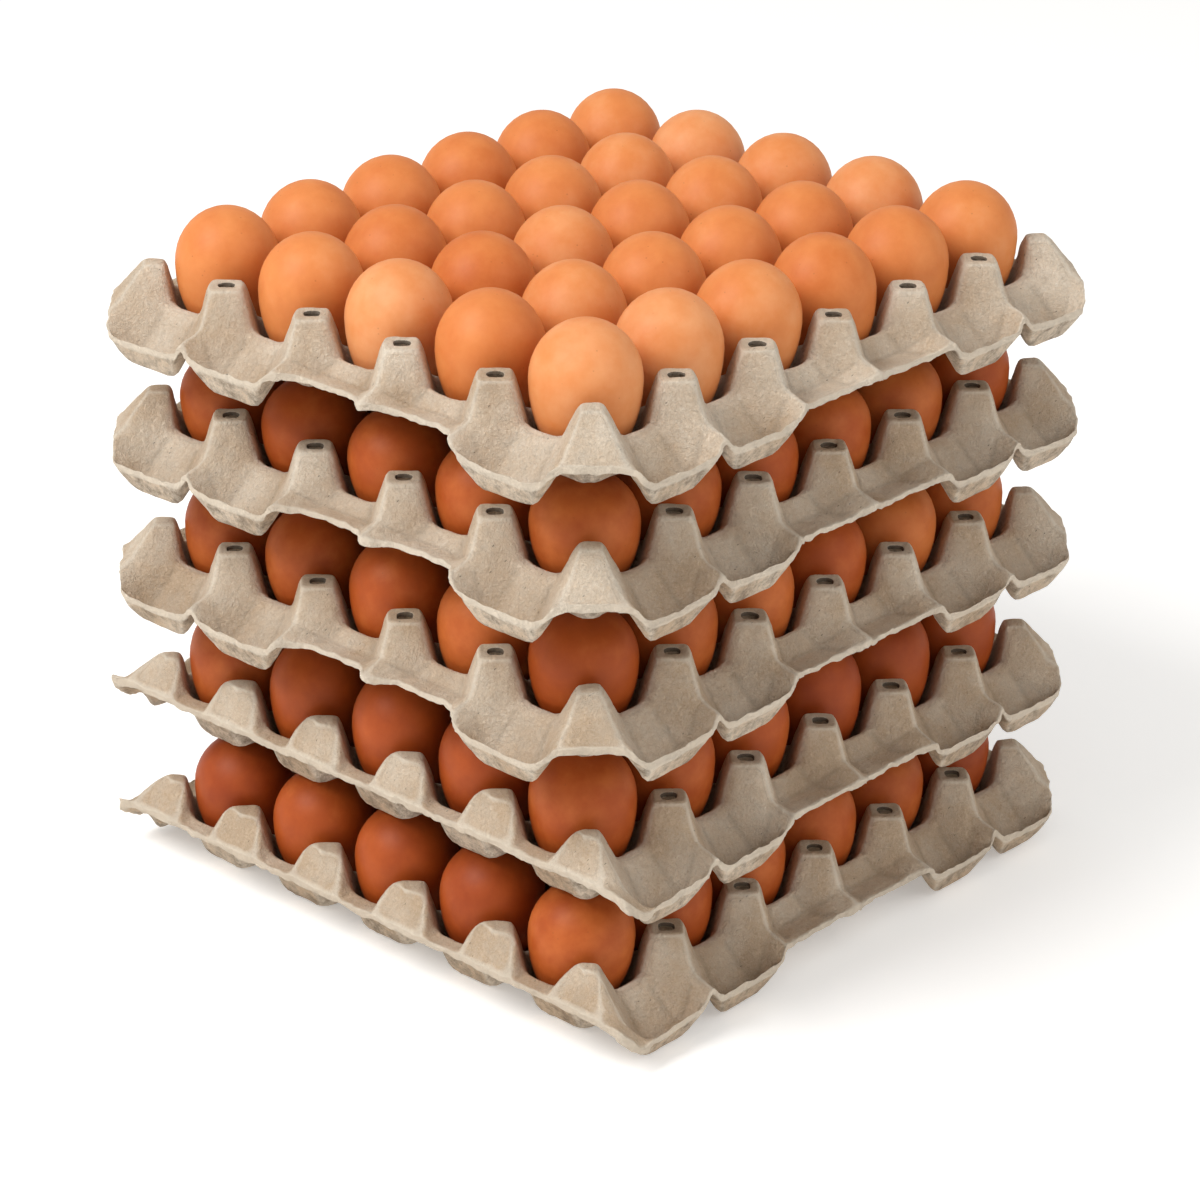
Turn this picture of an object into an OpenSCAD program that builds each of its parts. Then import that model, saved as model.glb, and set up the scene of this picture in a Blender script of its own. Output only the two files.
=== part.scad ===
// Stack of moulded pulp egg trays, each filled with eggs that stand blunt end up.
// A tray is one pulp sheet: posts stand on a grid, saddles join neighbouring posts,
// and a cup with a flat floor lies between every four posts. Past the outer posts
// the sheet runs on as a skirt with troughs, flat grips and a wavy lip.
// The origin is the middle of the stack's foot, with +Z up. Lengths are in millimetres.

/* [Tray] */
// Distance between posts along the long side
pitch_u = 48; // [47.5:0.5:52]
// Distance between posts along the short side
pitch_v = 50.6; // [50:0.2:54]
// Height of a tray from the foot of its cups to its post tops
tray_h = 40.4; // [38:0.2:44]
// Thickness of the pulp sheet
sheet_t = 2.2; // [1.8:0.1:2.6]
// Side of a post's flat top
post_top_w = 14.4; // [12:0.2:16]
// Drop from the post tops to the saddles between posts
saddle_drop = 14.5; // [13.5:0.5:16]
// Distance from a line of posts to the edge of a cup's floor
floor_inset = 13; // [12.5:0.25:14]
// Diameter of the hole in a post's top
post_hole_d = 6; // [4:0.5:7]
// How far the corner posts' tops lean inward
corner_lean = 3; // [2:0.5:3]
// How far the corner posts' tops lie below the others
corner_drop = 1.5; // [0.5:0.5:3]

/* [Skirt] */
// Width of the skirt outside the outer posts
skirt_w = 26; // [24:0.5:28]
// Drop from the post tops to the ends of the ridges
ridge_drop = 18.5; // [17.5:0.5:20]
// Drop from the post tops to the lip of a trough
lip_drop = 25.5; // [24.5:0.5:26.5]
// Drop from the post tops to the lip beside a corner
corner_lip_drop = 27; // [26:0.5:28]
// Height of a trough's bottom above the foot of the cups
trough_rise = 4.4; // [4.2:0.2:9]
// How far a trough's bottom is drawn in from the faces of its posts
trough_taper = 8; // [6:0.5:9]
// Drop from the post tops to the flat grips in the middle of each short side
grip_drop = 21; // [20:0.5:23]
// Drop from the post tops to the flat grips in the middle of each long side
long_grip_drop = 24; // [22:0.5:26]
// Distance from a ridge to the straight run of the lip
lip_start = 5; // [4:0.5:7]
// Distance of a straight rim outside its posts
straight_w = 8; // [6:0.5:10]
// Drop from the post tops to the lip's low point at each end of a straight side
straight_end_drop = 30; // [28:0.5:31]
// Distance from the end post's line to that low point
straight_end_along = 5; // [4:0.5:6]
// Distance from the end post's line to the run of the lip beyond it
straight_lip_start = 14; // [12:0.5:16]

/* [Eggs] */
// Largest diameter of an egg
egg_d = 44.8; // [43:0.2:45]
// Length of the eggs in the first tray from the bottom
egg_len_1 = 57.5; // [53:0.5:62]
// Length of the eggs in the second tray
egg_len_2 = 61.5; // [53:0.5:62]
// Length of the eggs in the third tray
egg_len_3 = 57.5; // [53:0.5:62]
// Length of the eggs in the fourth tray
egg_len_4 = 53; // [53:0.5:62]
// Length of the eggs in the top tray
egg_len_5 = 60; // [53:0.5:62]
// Clearance between an egg and what it rests on or carries
seat_gap = 0.15; // [0.1:0.05:0.3]

/* [Hidden] */
tray_count = 5;
straight_trays = 2;
cells_u = 6;
cells_v = 5;
egg_len = [egg_len_1, egg_len_2, egg_len_3, egg_len_4, egg_len_5];
egg_low_share = 0.54;
egg_steps = 18;
round_fn = 48;
hole_over = sheet_t;

// Widths and depths inside the skirt as shares of its main sizes
trough_at_share = 0.76;
trough_out_share = 0.3;
grip_at_share = 0.3;
grip_lip_share = 0.6;
long_grip_lip_share = 0.75;
corner_out_share = 0.8;
corner_top_share = 0.62;
grip_start_share = 0.19;
grip_lip_rise_share = 0.975;
straight_tip_share = 0.4;
straight_t_share = 0.9;
straight_cut_share = 0.6;
straight_sag_share = 0.03;
ridge_t_share = 1.5;
trough_t_share = 1.5;
grip_t_share = 1.25;
lip_t_share = 1.6;

// Four ways on the grid, counted from +u round to -v, and the four sides of a tray
ways = [[1, 0], [0, 1], [-1, 0], [0, -1]];
side_way = [2, 0, 3, 1];
side_turn = [1, -1, -1, 1];

// Plane of a post's face, which falls with the sum of the two grid distances
post_tip = post_top_w / sqrt(2);
cup_drop = tray_h - sheet_t;
post_fall = cup_drop / (2 * floor_inset - post_tip);
post_face_t = sheet_t * sqrt(1 + 2 * post_fall * post_fall);

// Plane of a cup's wall under a saddle, which falls with the distance from the posts' line
wall_fall = (cup_drop - saddle_drop) / floor_inset;
wall_face_t = sheet_t * sqrt(1 + wall_fall * wall_fall);

// The same corners on the upper face (0) and the under face (1) of the sheet
top_z = [tray_h, tray_h - sheet_t];
tip = [post_tip, post_tip - (post_face_t - sheet_t) / post_fall];
saddle_z = [tray_h - saddle_drop, tray_h - saddle_drop - wall_face_t];
knee = [
    post_tip + saddle_drop / post_fall,
    post_tip + (saddle_drop + wall_face_t - post_face_t) / post_fall
];
floor_z = [sheet_t, 0];
inset = [floor_inset, saddle_z[1] / wall_fall];

// Trough and grip corners: distance out, distance along from the ridge, and height
trough_at = [skirt_w * trough_at_share, skirt_w * trough_at_share + sheet_t * trough_out_share];
grip_at = skirt_w * grip_at_share;
function on_face(drop, out) = post_tip + drop / post_fall - out;
trough_start = on_face(tray_h - trough_rise, trough_at[0]) + trough_taper;
valley_along = [trough_start, trough_start - sheet_t];
valley_z = [trough_rise, trough_rise - sheet_t * trough_t_share];
ridge_z = [tray_h - ridge_drop, tray_h - ridge_drop - sheet_t * ridge_t_share];

// Number of posts and cells along a side, and whether a cell of it is a grip
function posts_u() = cells_u + 1;
function posts_v() = cells_v + 1;
function side_cells(side) = side < 2 ? cells_v : cells_u;
function is_grip(side, c) = side < 2
    ? (c == 1 || c == 2)
    : (c == 2 || c == 3);
function grip_fall(side) = side < 2 ? grip_drop : long_grip_drop;
function grip_reach(side) = skirt_w * (side < 2 ? grip_lip_share : long_grip_lip_share);

// Grid points, measured from the middle of the tray
function post_xy(i, j) = [(i - cells_u / 2) * pitch_u, (j - cells_v / 2) * pitch_v];
function is_corner(i, j) = (i == 0 || i == cells_u) && (j == 0 || j == cells_v);
function lean(i, j) = is_corner(i, j)
    ? [i == 0 ? corner_lean : -corner_lean, j == 0 ? corner_lean : -corner_lean]
    : [0, 0];
function at(xy, z) = [xy[0], xy[1], z];

// Eight corners of a post: four tips of its top, then four knees where its edges end.
// A corner post's top is smaller and lower. On a straight side the tip that points outward
// stays close to the posts' line.
function tip_reach(i, j, way, s, straight) = straight && i == 0 && way == 2
    ? straight_w * straight_tip_share - s * sheet_t * straight_t_share
    : tip[s] - (is_corner(i, j) ? post_tip * (1 - corner_top_share) : 0);
function tip_z(i, j, s) = top_z[s] - (is_corner(i, j) ? corner_drop : 0);
function tip_xy(i, j, way, s, straight) =
    post_xy(i, j) + lean(i, j) + ways[way] * tip_reach(i, j, way, s, straight);
function post_points(i, j, s, straight) = concat(
    [for (w = [0:3]) at(tip_xy(i, j, w, s, straight), tip_z(i, j, s))],
    [for (w = [0:3]) at(post_xy(i, j) + ways[w] * knee[s], saddle_z[s])]
);

// Four corners of a cup's floor, counted from the one at +u +v
corner_sign = [[1, 1], [-1, 1], [-1, -1], [1, -1]];
function cell_xy(a, b) = post_xy(a, b) + [pitch_u, pitch_v] / 2;
function floor_points(a, b, s) = [
    for (q = [0:3]) at(cell_xy(a, b) + [
        corner_sign[q][0] * (pitch_u / 2 - inset[s]),
        corner_sign[q][1] * (pitch_v / 2 - inset[s])
    ], floor_z[s])
];

// Posts of a side, and the way along it
function side_post(side, n) = side == 0 ? [0, n]
    : side == 1 ? [cells_u, n]
    : side == 2 ? [n, 0]
    : [n, cells_v];
function along_way(side) = side < 2 ? 1 : 0;
function side_xy(side, n, along, out) = post_xy(side_post(side, n)[0], side_post(side, n)[1])
    + ways[along_way(side)] * along + ways[side_way[side]] * out;

// Corners of a skirt cell: two at the bottom of its trough, then two on its lip
function lip_fall(side, c, end) = is_grip(side, c) ? grip_fall(side) * grip_lip_rise_share
    : (c == 0 && end < 0) || (c == side_cells(side) - 1 && end > 0) ? corner_lip_drop
    : lip_drop;
function skirt_points(side, c, s, straight) =
    let (
        grip = is_grip(side, c),
        low_at = grip ? grip_at : trough_at[s],
        low_along = grip ? on_face(grip_fall(side), grip_at) - s * sheet_t : valley_along[s],
        low_z = grip ? tray_h - grip_fall(side) - s * sheet_t * grip_t_share : valley_z[s],
        lip_at = grip ? grip_reach(side) : skirt_w,
        lip_along = grip ? (side < 2 ? pitch_v : pitch_u) * grip_start_share : lip_start,
        first_along = dips(side, c, straight) ? straight_lip_start : lip_along,
        lip_down = s * sheet_t * lip_t_share
    )
    [
        at(side_xy(side, c, low_along, low_at), low_z),
        at(side_xy(side, c + 1, -low_along, low_at), low_z),
        at(side_xy(side, c, first_along, lip_at), tray_h - lip_fall(side, c, -1) - lip_down),
        at(side_xy(side, c + 1, -lip_along, lip_at), tray_h - lip_fall(side, c, 1) - lip_down)
    ];

// The ridges at a cut-off corner are shorter. Beside a straight side the end ridge runs on and dips,
// so that the two rims meet in a low point.
function dips(side, n, straight) = straight && n == 0 && side > 1;
function ends(side, n) = n == 0 || n == side_cells(side);
function ridge_point(side, n, s, straight) = at(
    side_xy(
        side, n,
        dips(side, n, straight) ? straight_end_along : 0,
        ends(side, n) && !dips(side, n, straight) ? skirt_w * corner_out_share : skirt_w
    ),
    dips(side, n, straight) ? tray_h - straight_end_drop - s * sheet_t * lip_t_share : ridge_z[s]
);

// Rim of a straight side: two points beside each post, then one at each end
function rim_z(s) = saddle_z[0] - tray_h * straight_sag_share - s * sheet_t * lip_t_share;
function rim_out(s) = straight_w - s * sheet_t * straight_cut_share;
function straight_points(s) = concat(
    [for (n = [0:cells_v]) for (e = [-1, 1]) at(side_xy(0, n, e * knee[0], rim_out(s)), rim_z(s))],
    [for (e = [-1, 1]) at(side_xy(0, e < 0 ? 0 : cells_v, e * skirt_w, rim_out(s)), rim_z(s))]
);

// All corners of one face of the sheet, in blocks
function sheet_points(s, straight) = concat(
    [for (i = [0:cells_u]) for (j = [0:cells_v]) each post_points(i, j, s, straight)],
    [for (a = [0:cells_u - 1]) for (b = [0:cells_v - 1]) each floor_points(a, b, s)],
    [for (side = [0:3]) for (c = [0:side_cells(side) - 1]) each skirt_points(side, c, s, straight)],
    [for (side = [0:3]) for (n = [0:side_cells(side)]) ridge_point(side, n, s, straight)],
    straight_points(s)
);

// Where each block starts, and the place of one corner in the list
post_size = 8;
floor_start = posts_u() * posts_v() * post_size;
skirt_start = floor_start + cells_u * cells_v * 4;
ridge_start = skirt_start + 2 * (cells_u + cells_v) * 4;
straight_start = ridge_start + 2 * (posts_u() + posts_v());
face_size = straight_start + 2 * posts_v() + 2;
function tip_id(p, w) = (p[0] * posts_v() + p[1]) * post_size + w;
function knee_id(p, w) = tip_id(p, w) + 4;
function floor_id(a, b, q) = floor_start + (a * cells_v + b) * 4 + q;
function cells_before(side) = side == 0 ? 0
    : side == 1 ? cells_v
    : side == 2 ? 2 * cells_v
    : 2 * cells_v + cells_u;
function skirt_id(side, c, k) = skirt_start + (cells_before(side) + c) * 4 + k;
function ridge_id(side, n) = ridge_start + cells_before(side) + side + n;
function rim_id(n, e) = straight_start + 2 * n + e;
function rim_end_id(e) = straight_start + 2 * posts_v() + e;

// A face list turned round where a side runs the other way about the tray
function flip(f) = [for (k = [len(f) - 1:-1:0]) f[k]];
function turned(faces, turn) = turn > 0 ? faces : [for (f = faces) flip(f)];
function fan(f) = [for (k = [1:len(f) - 2]) [f[0], f[k], f[k + 1]]];

// Faces of a cup: its floor, four faces of posts above and below the knees, and four walls
cup_post = [[1, 1], [0, 1], [0, 0], [1, 0]];
first_way = [3, 0, 1, 2];
second_way = [2, 3, 0, 1];
function next(q) = (q + 1) % 4;
function cup_faces(a, b) = concat(
    [[for (q = [0:3]) floor_id(a, b, q)]],
    [for (q = [0:3]) let (p = [a, b] + cup_post[q], w1 = first_way[q], w2 = second_way[q]) each [
        [knee_id(p, w1), tip_id(p, w1), tip_id(p, w2), knee_id(p, w2)],
        [floor_id(a, b, q), knee_id(p, w1), knee_id(p, w2)]
    ]],
    [for (q = [0:3]) [
        floor_id(a, b, q),
        knee_id([a, b] + cup_post[q], second_way[q]),
        knee_id([a, b] + cup_post[next(q)], first_way[next(q)]),
        floor_id(a, b, next(q))
    ]]
);

// Faces of a skirt cell: inner wall, two faces of each post, two ridge sides and the outer wall
function skirt_faces(side, c) =
    let (
        p = side_post(side, c), q = side_post(side, c + 1),
        on = along_way(side), back = on + 2, out = side_way[side],
        low_p = skirt_id(side, c, 0), low_q = skirt_id(side, c, 1),
        lip_p = skirt_id(side, c, 2), lip_q = skirt_id(side, c, 3)
    )
    turned([
        [knee_id(p, on), knee_id(q, back), low_q, low_p],
        [knee_id(p, out), tip_id(p, out), tip_id(p, on), knee_id(p, on)],
        [low_p, knee_id(p, out), knee_id(p, on)],
        [knee_id(q, back), tip_id(q, back), tip_id(q, out), knee_id(q, out)],
        [low_q, knee_id(q, back), knee_id(q, out)],
        [low_p, lip_p, ridge_id(side, c), knee_id(p, out)],
        [low_q, knee_id(q, out), ridge_id(side, c + 1), lip_q],
        [low_p, low_q, lip_q, lip_p]
    ], side_turn[side]);
function skirt_rim(side, c) = turned([
    [ridge_id(side, c + 1), skirt_id(side, c, 3)],
    [skirt_id(side, c, 3), skirt_id(side, c, 2)],
    [skirt_id(side, c, 2), ridge_id(side, c)]
], side_turn[side]);

// A cut-off corner of the skirt, between the ends of its two ridges
function corner_ends(i, j) = [
    ridge_id(i == 0 ? 0 : 1, j),
    ridge_id(j == 0 ? 2 : 3, i)
];
function corner_turn(i, j) = (i == 0) == (j == 0) ? 1 : -1;
function corner_faces(i, j) =
    let (p = [i, j], a = i == 0 ? 2 : 0, b = j == 0 ? 3 : 1, e = corner_ends(i, j))
    turned([
        [tip_id(p, a), knee_id(p, a), knee_id(p, b), tip_id(p, b)],
        [knee_id(p, a), e[0], e[1], knee_id(p, b)]
    ], corner_turn(i, j));

// A straight side: half posts with flat fronts, a narrow flange and its two ends
function straight_faces() = concat(
    [for (n = [0:cells_v]) let (p = [0, n]) each [
        [tip_id(p, 1), knee_id(p, 1), rim_id(n, 1)],
        [tip_id(p, 2), tip_id(p, 1), rim_id(n, 1), rim_id(n, 0), tip_id(p, 3)],
        [tip_id(p, 3), rim_id(n, 0), knee_id(p, 3)]
    ]],
    [for (n = [0:cells_v - 1]) [
        knee_id([0, n], 1), knee_id([0, n + 1], 3), rim_id(n + 1, 0), rim_id(n, 1)
    ]],
    [
        [knee_id([0, 0], 3), rim_id(0, 0), rim_end_id(0), ridge_id(2, 0)],
        [knee_id([0, cells_v], 1), ridge_id(3, 0), rim_end_id(1), rim_id(cells_v, 1)]
    ]
);
function straight_rim() = concat(
    [for (n = [0:cells_v]) [rim_id(n, 1), rim_id(n, 0)]],
    [for (n = [0:cells_v - 1]) [rim_id(n + 1, 0), rim_id(n, 1)]],
    [
        [rim_id(0, 0), rim_end_id(0)], [rim_end_id(0), ridge_id(2, 0)],
        [ridge_id(3, 0), rim_end_id(1)], [rim_end_id(1), rim_id(cells_v, 1)]
    ]
);

// One face of the sheet, seen from above, and the line of its rim
function first_side(straight) = straight ? 1 : 0;
function skirted_corners(straight) = [
    for (i = straight ? [cells_u] : [0, cells_u]) for (j = [0, cells_v]) [i, j]
];
function sheet_faces(straight) = concat(
    [for (i = [0:cells_u]) for (j = [0:cells_v]) [for (w = [0:3]) tip_id([i, j], w)]],
    [for (a = [0:cells_u - 1]) for (b = [0:cells_v - 1]) each cup_faces(a, b)],
    [for (side = [first_side(straight):3]) for (c = [0:side_cells(side) - 1]) each skirt_faces(side, c)],
    [for (p = skirted_corners(straight)) each corner_faces(p[0], p[1])],
    straight ? straight_faces() : []
);
function sheet_rim(straight) = concat(
    [for (side = [first_side(straight):3]) for (c = [0:side_cells(side) - 1]) each skirt_rim(side, c)],
    [for (p = skirted_corners(straight)) each turned([corner_ends(p[0], p[1])], corner_turn(p[0], p[1]))],
    straight ? straight_rim() : []
);

// Seat of an egg: the lowest place for its widest circle that clears the floor and the walls
egg_r = egg_d / 2;
function egg_low(n) = egg_len[n - 1] * egg_low_share;
function egg_high(n) = egg_len[n - 1] - egg_low(n);
function on_slope(fall, out, n) = sheet_t - fall * out
    + sqrt(egg_r * egg_r * fall * fall + egg_low(n) * egg_low(n));
floor_half = [pitch_u / 2 - floor_inset, pitch_v / 2 - floor_inset];
function egg_seat(n) = seat_gap + max(
    sheet_t + egg_low(n),
    on_slope(wall_fall, min(floor_half), n),
    on_slope(post_fall * sqrt(2), (floor_half[0] + floor_half[1]) / sqrt(2), n)
);

// A tray stands on the tops of the eggs below it
function tray_z(n) = n == 1 ? 0 : tray_z(n - 1) + egg_seat(n - 1) + egg_high(n - 1) + seat_gap;

function tray_name(n) = str("tray_", n);
function row_name(n, b) = str("egg_row_", n, "_", b);

module sheet(straight) {
    upper = sheet_faces(straight);
    under = [for (f = upper) flip(f) + [for (k = f) face_size]];
    edge = [for (e = sheet_rim(straight)) [e[1], e[0], e[0] + face_size, e[1] + face_size]];
    polyhedron(
        points = concat(sheet_points(0, straight), sheet_points(1, straight)),
        faces = [for (f = concat(upper, under, edge)) each fan(flip(f))]
    );
}

module post_holes(straight) {
    for (i = [first_side(straight):cells_u]) {
        for (j = [0:cells_v]) {
            if (!is_corner(i, j)) {
                translate(at(post_xy(i, j), tray_h - sheet_t - hole_over))
                    cylinder(d = post_hole_d, h = sheet_t + 2 * hole_over, $fn = round_fn);
            }
        }
    }
}

module tray(n) {
    straight = n <= straight_trays;
    color([0.79, 0.75, 0.68])
        translate([0, 0, tray_z(n)])
            difference() {
                sheet(straight);
                post_holes(straight);
            }
}

module egg(n) {
    rotate_extrude($fn = round_fn)
        polygon([for (k = [0:egg_steps])
            let (turn = 180 * k / egg_steps - 90)
            [
                k == 0 || k == egg_steps ? 0 : egg_r * cos(turn),
                (turn < 0 ? egg_low(n) : egg_high(n)) * sin(turn)
            ]
        ]);
}

module egg_row(n, b) {
    color([0.85, 0.49, 0.26])
        for (a = [0:cells_u - 1]) {
            translate(at(cell_xy(a, b - 1), tray_z(n) + egg_seat(n)))
                egg(n);
        }
}

for (n = [1:tray_count]) {
    tray(n);
    for (b = [1:cells_v]) {
        egg_row(n, b);
    }
}
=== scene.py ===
"""Looks of a stack of five moulded pulp egg trays, each filled with thirty brown eggs.

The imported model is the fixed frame. Each tray is moulded again as one soft sheet with torn vent
holes and a ragged lip, and each row of eggs is set out again with a tone of its own for every egg.
"""

import logging
import math
import random
from dataclasses import dataclass, field
from enum import Enum, IntEnum
from typing import ClassVar

import bpy
import numpy as np
from mathutils import Matrix, Vector


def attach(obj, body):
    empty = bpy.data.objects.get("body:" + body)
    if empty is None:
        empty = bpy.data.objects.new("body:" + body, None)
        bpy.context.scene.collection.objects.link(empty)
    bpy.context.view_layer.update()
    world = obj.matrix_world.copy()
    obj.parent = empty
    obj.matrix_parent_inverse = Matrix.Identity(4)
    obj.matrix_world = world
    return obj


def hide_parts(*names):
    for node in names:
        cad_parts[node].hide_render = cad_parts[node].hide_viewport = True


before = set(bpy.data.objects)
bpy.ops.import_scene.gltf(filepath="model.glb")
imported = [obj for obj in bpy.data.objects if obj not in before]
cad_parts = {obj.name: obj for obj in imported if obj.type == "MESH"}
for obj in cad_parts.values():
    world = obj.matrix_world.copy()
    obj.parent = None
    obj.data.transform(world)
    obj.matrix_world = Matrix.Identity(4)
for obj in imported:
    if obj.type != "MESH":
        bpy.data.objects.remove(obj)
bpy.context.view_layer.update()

LOG = logging.getLogger("egg_trays")
MM = 0.001
SEED = 20
WAYS = np.array([(1.0, 0.0), (0.0, 1.0), (-1.0, 0.0), (0.0, -1.0)])
Key = tuple
Spot = tuple[np.ndarray, float]


class Side(Enum):
    """A side of a tray: the way along it, the way out of it, and the sense in which it runs."""

    LEFT = (1, 2, 1)
    RIGHT = (1, 0, -1)
    FRONT = (0, 3, -1)
    BACK = (0, 1, 1)

    @property
    def along(self) -> int:
        """Way along the side."""
        return self.value[0]

    @property
    def out(self) -> int:
        """Way out of the tray."""
        return self.value[1]

    @property
    def sense(self) -> int:
        """One where faces listed along the side look up, and minus one where they look down."""
        return self.value[2]

    @property
    def short(self) -> bool:
        """True on the two short sides."""
        return self.along == 1


class Detail(IntEnum):
    """How often a face of the sheet is split before it is smoothed."""

    HOLE = 0
    PLAIN = 1
    FINE = 2
    LIP = 3


def linear(code: str) -> tuple[float, float, float, float]:
    """Turns an sRGB hex colour to linear values.

    Args:
        code: Six hex digits after a hash sign.

    Returns:
        Red, green, blue and an alpha of one.
    """
    parts = [int(code[k:k + 2], 16) / 255 for k in (1, 3, 5)]
    return (*(c / 12.92 if c <= 0.04045 else ((c + 0.055) / 1.055) ** 2.4 for c in parts), 1.0)


def per_mm(size: float) -> float:
    """Scale of a pattern whose grain is this many millimetres, on coordinates in metres."""
    return 1 / (size * MM)


def add(tree: bpy.types.NodeTree, kind: str, inputs: dict | None = None, **settings: object) -> bpy.types.Node:
    """Adds one node with its settings, values and links.

    Args:
        tree: Tree that the node goes into.
        kind: Type name of the node.
        inputs: Value, output socket or node for each input, by name or place. A node gives its
            first output that is in use.
        settings: Attributes of the node itself, set first.

    Returns:
        The new node.
    """
    node = tree.nodes.new(kind)
    for name, value in settings.items():
        setattr(node, name, value)
    for key, value in (inputs or {}).items():
        socket = node.inputs[key] if isinstance(key, int) else next(
            s for s in node.inputs if s.name == key and s.enabled)
        if isinstance(value, bpy.types.Node):
            value = next(s for s in value.outputs if s.enabled)
        if isinstance(value, bpy.types.NodeSocket):
            tree.links.new(value, socket)
        else:
            socket.default_value = value
    return node


def open_material(name: str) -> tuple[bpy.types.Material, bpy.types.NodeTree]:
    """Starts a material with an empty tree.

    Args:
        name: Common name of the real material.

    Returns:
        The material and its tree.
    """
    material = bpy.data.materials.new(name)
    material.use_nodes = True
    material.node_tree.nodes.clear()
    return material, material.node_tree


def set_stops(ramp: bpy.types.ColorRamp, stops: list[tuple[float, str]]) -> None:
    """Gives a new colour ramp its stops.

    Args:
        ramp: Ramp with the two stops that it starts with.
        stops: Place and hex colour of each stop, in rising order.
    """
    while len(ramp.elements) < len(stops):
        ramp.elements.new(0.5)
    for k, (place, code) in enumerate(stops):
        ramp.elements[k].position = place
        ramp.elements[k].color = linear(code)


def open_tree(name: str, inputs: dict[str, str]) -> tuple[bpy.types.NodeTree, bpy.types.NodeOutputs]:
    """Starts a geometry tree with named inputs.

    Args:
        name: Name of the tree.
        inputs: Kind of each named input after the geometry: Float, Int or Material.

    Returns:
        The tree and the sockets that give its inputs.
    """
    tree = bpy.data.node_groups.new(name, "GeometryNodeTree")
    for label, kind in {"Geometry": "Geometry", **inputs}.items():
        tree.interface.new_socket(label, in_out="INPUT", socket_type="NodeSocket" + kind)
    tree.interface.new_socket("Geometry", in_out="OUTPUT", socket_type="NodeSocketGeometry")
    return tree, add(tree, "NodeGroupInput").outputs


def close_tree(tree: bpy.types.NodeTree, shape: bpy.types.Node, finish: bpy.types.NodeSocket) -> None:
    """Ends a geometry tree in real faces with their material.

    Args:
        tree: Tree that is ended.
        shape: Node that gives the finished shape.
        finish: Socket that gives the material.
    """
    real = add(tree, "GeometryNodeRealizeInstances", {"Geometry": shape})
    done = add(tree, "GeometryNodeSetMaterial", {"Geometry": real, "Material": finish})
    add(tree, "NodeGroupOutput", {"Geometry": done})


def grow(piece: bpy.types.Object, tree: bpy.types.NodeTree, values: dict[str, object]) -> None:
    """Runs a node tree on a piece and keeps the result as its plain mesh.

    Args:
        piece: Object that carries the starting mesh.
        tree: Geometry tree with named inputs.
        values: Value of each named input.
    """
    modifier = piece.modifiers.new("growth", "NODES")
    modifier.node_group = tree
    for item in tree.interface.items_tree:
        if item.item_type == "SOCKET" and item.in_out == "INPUT" and item.name in values:
            modifier[item.identifier] = values[item.name]
    graph = bpy.context.evaluated_depsgraph_get()
    mesh = bpy.data.meshes.new_from_object(
        piece.evaluated_get(graph), preserve_all_data_layers=True, depsgraph=graph)
    start = piece.data
    piece.modifiers.clear()
    piece.data = mesh
    mesh.name = piece.name
    bpy.data.meshes.remove(start)


def new_piece(name: str, points: np.ndarray, faces: list[list[int]]) -> bpy.types.Object:
    """Makes an object at the origin from points in millimetres.

    Args:
        name: Name of the piece.
        points: One row of x, y and z for each point.
        faces: Point numbers of each face, seen from outside.

    Returns:
        The linked object.
    """
    mesh = bpy.data.meshes.new(name)
    mesh.from_pydata((points * MM).tolist(), [], faces)
    piece = bpy.data.objects.new(name, mesh)
    bpy.context.scene.collection.objects.link(piece)
    return piece


def mark(piece: bpy.types.Object, name: str, values: np.ndarray) -> None:
    """Keeps a number or a vector for each point of a piece.

    Args:
        piece: Object whose points are marked.
        name: Name of the mark.
        values: One number, or one row of three, for each point.
    """
    kind, part = ("FLOAT", "value") if values.ndim == 1 else ("FLOAT_VECTOR", "vector")
    layer = piece.data.attributes.new(name, kind, "POINT")
    layer.data.foreach_set(part, values.astype(np.float32).ravel())


# Finishes


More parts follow.
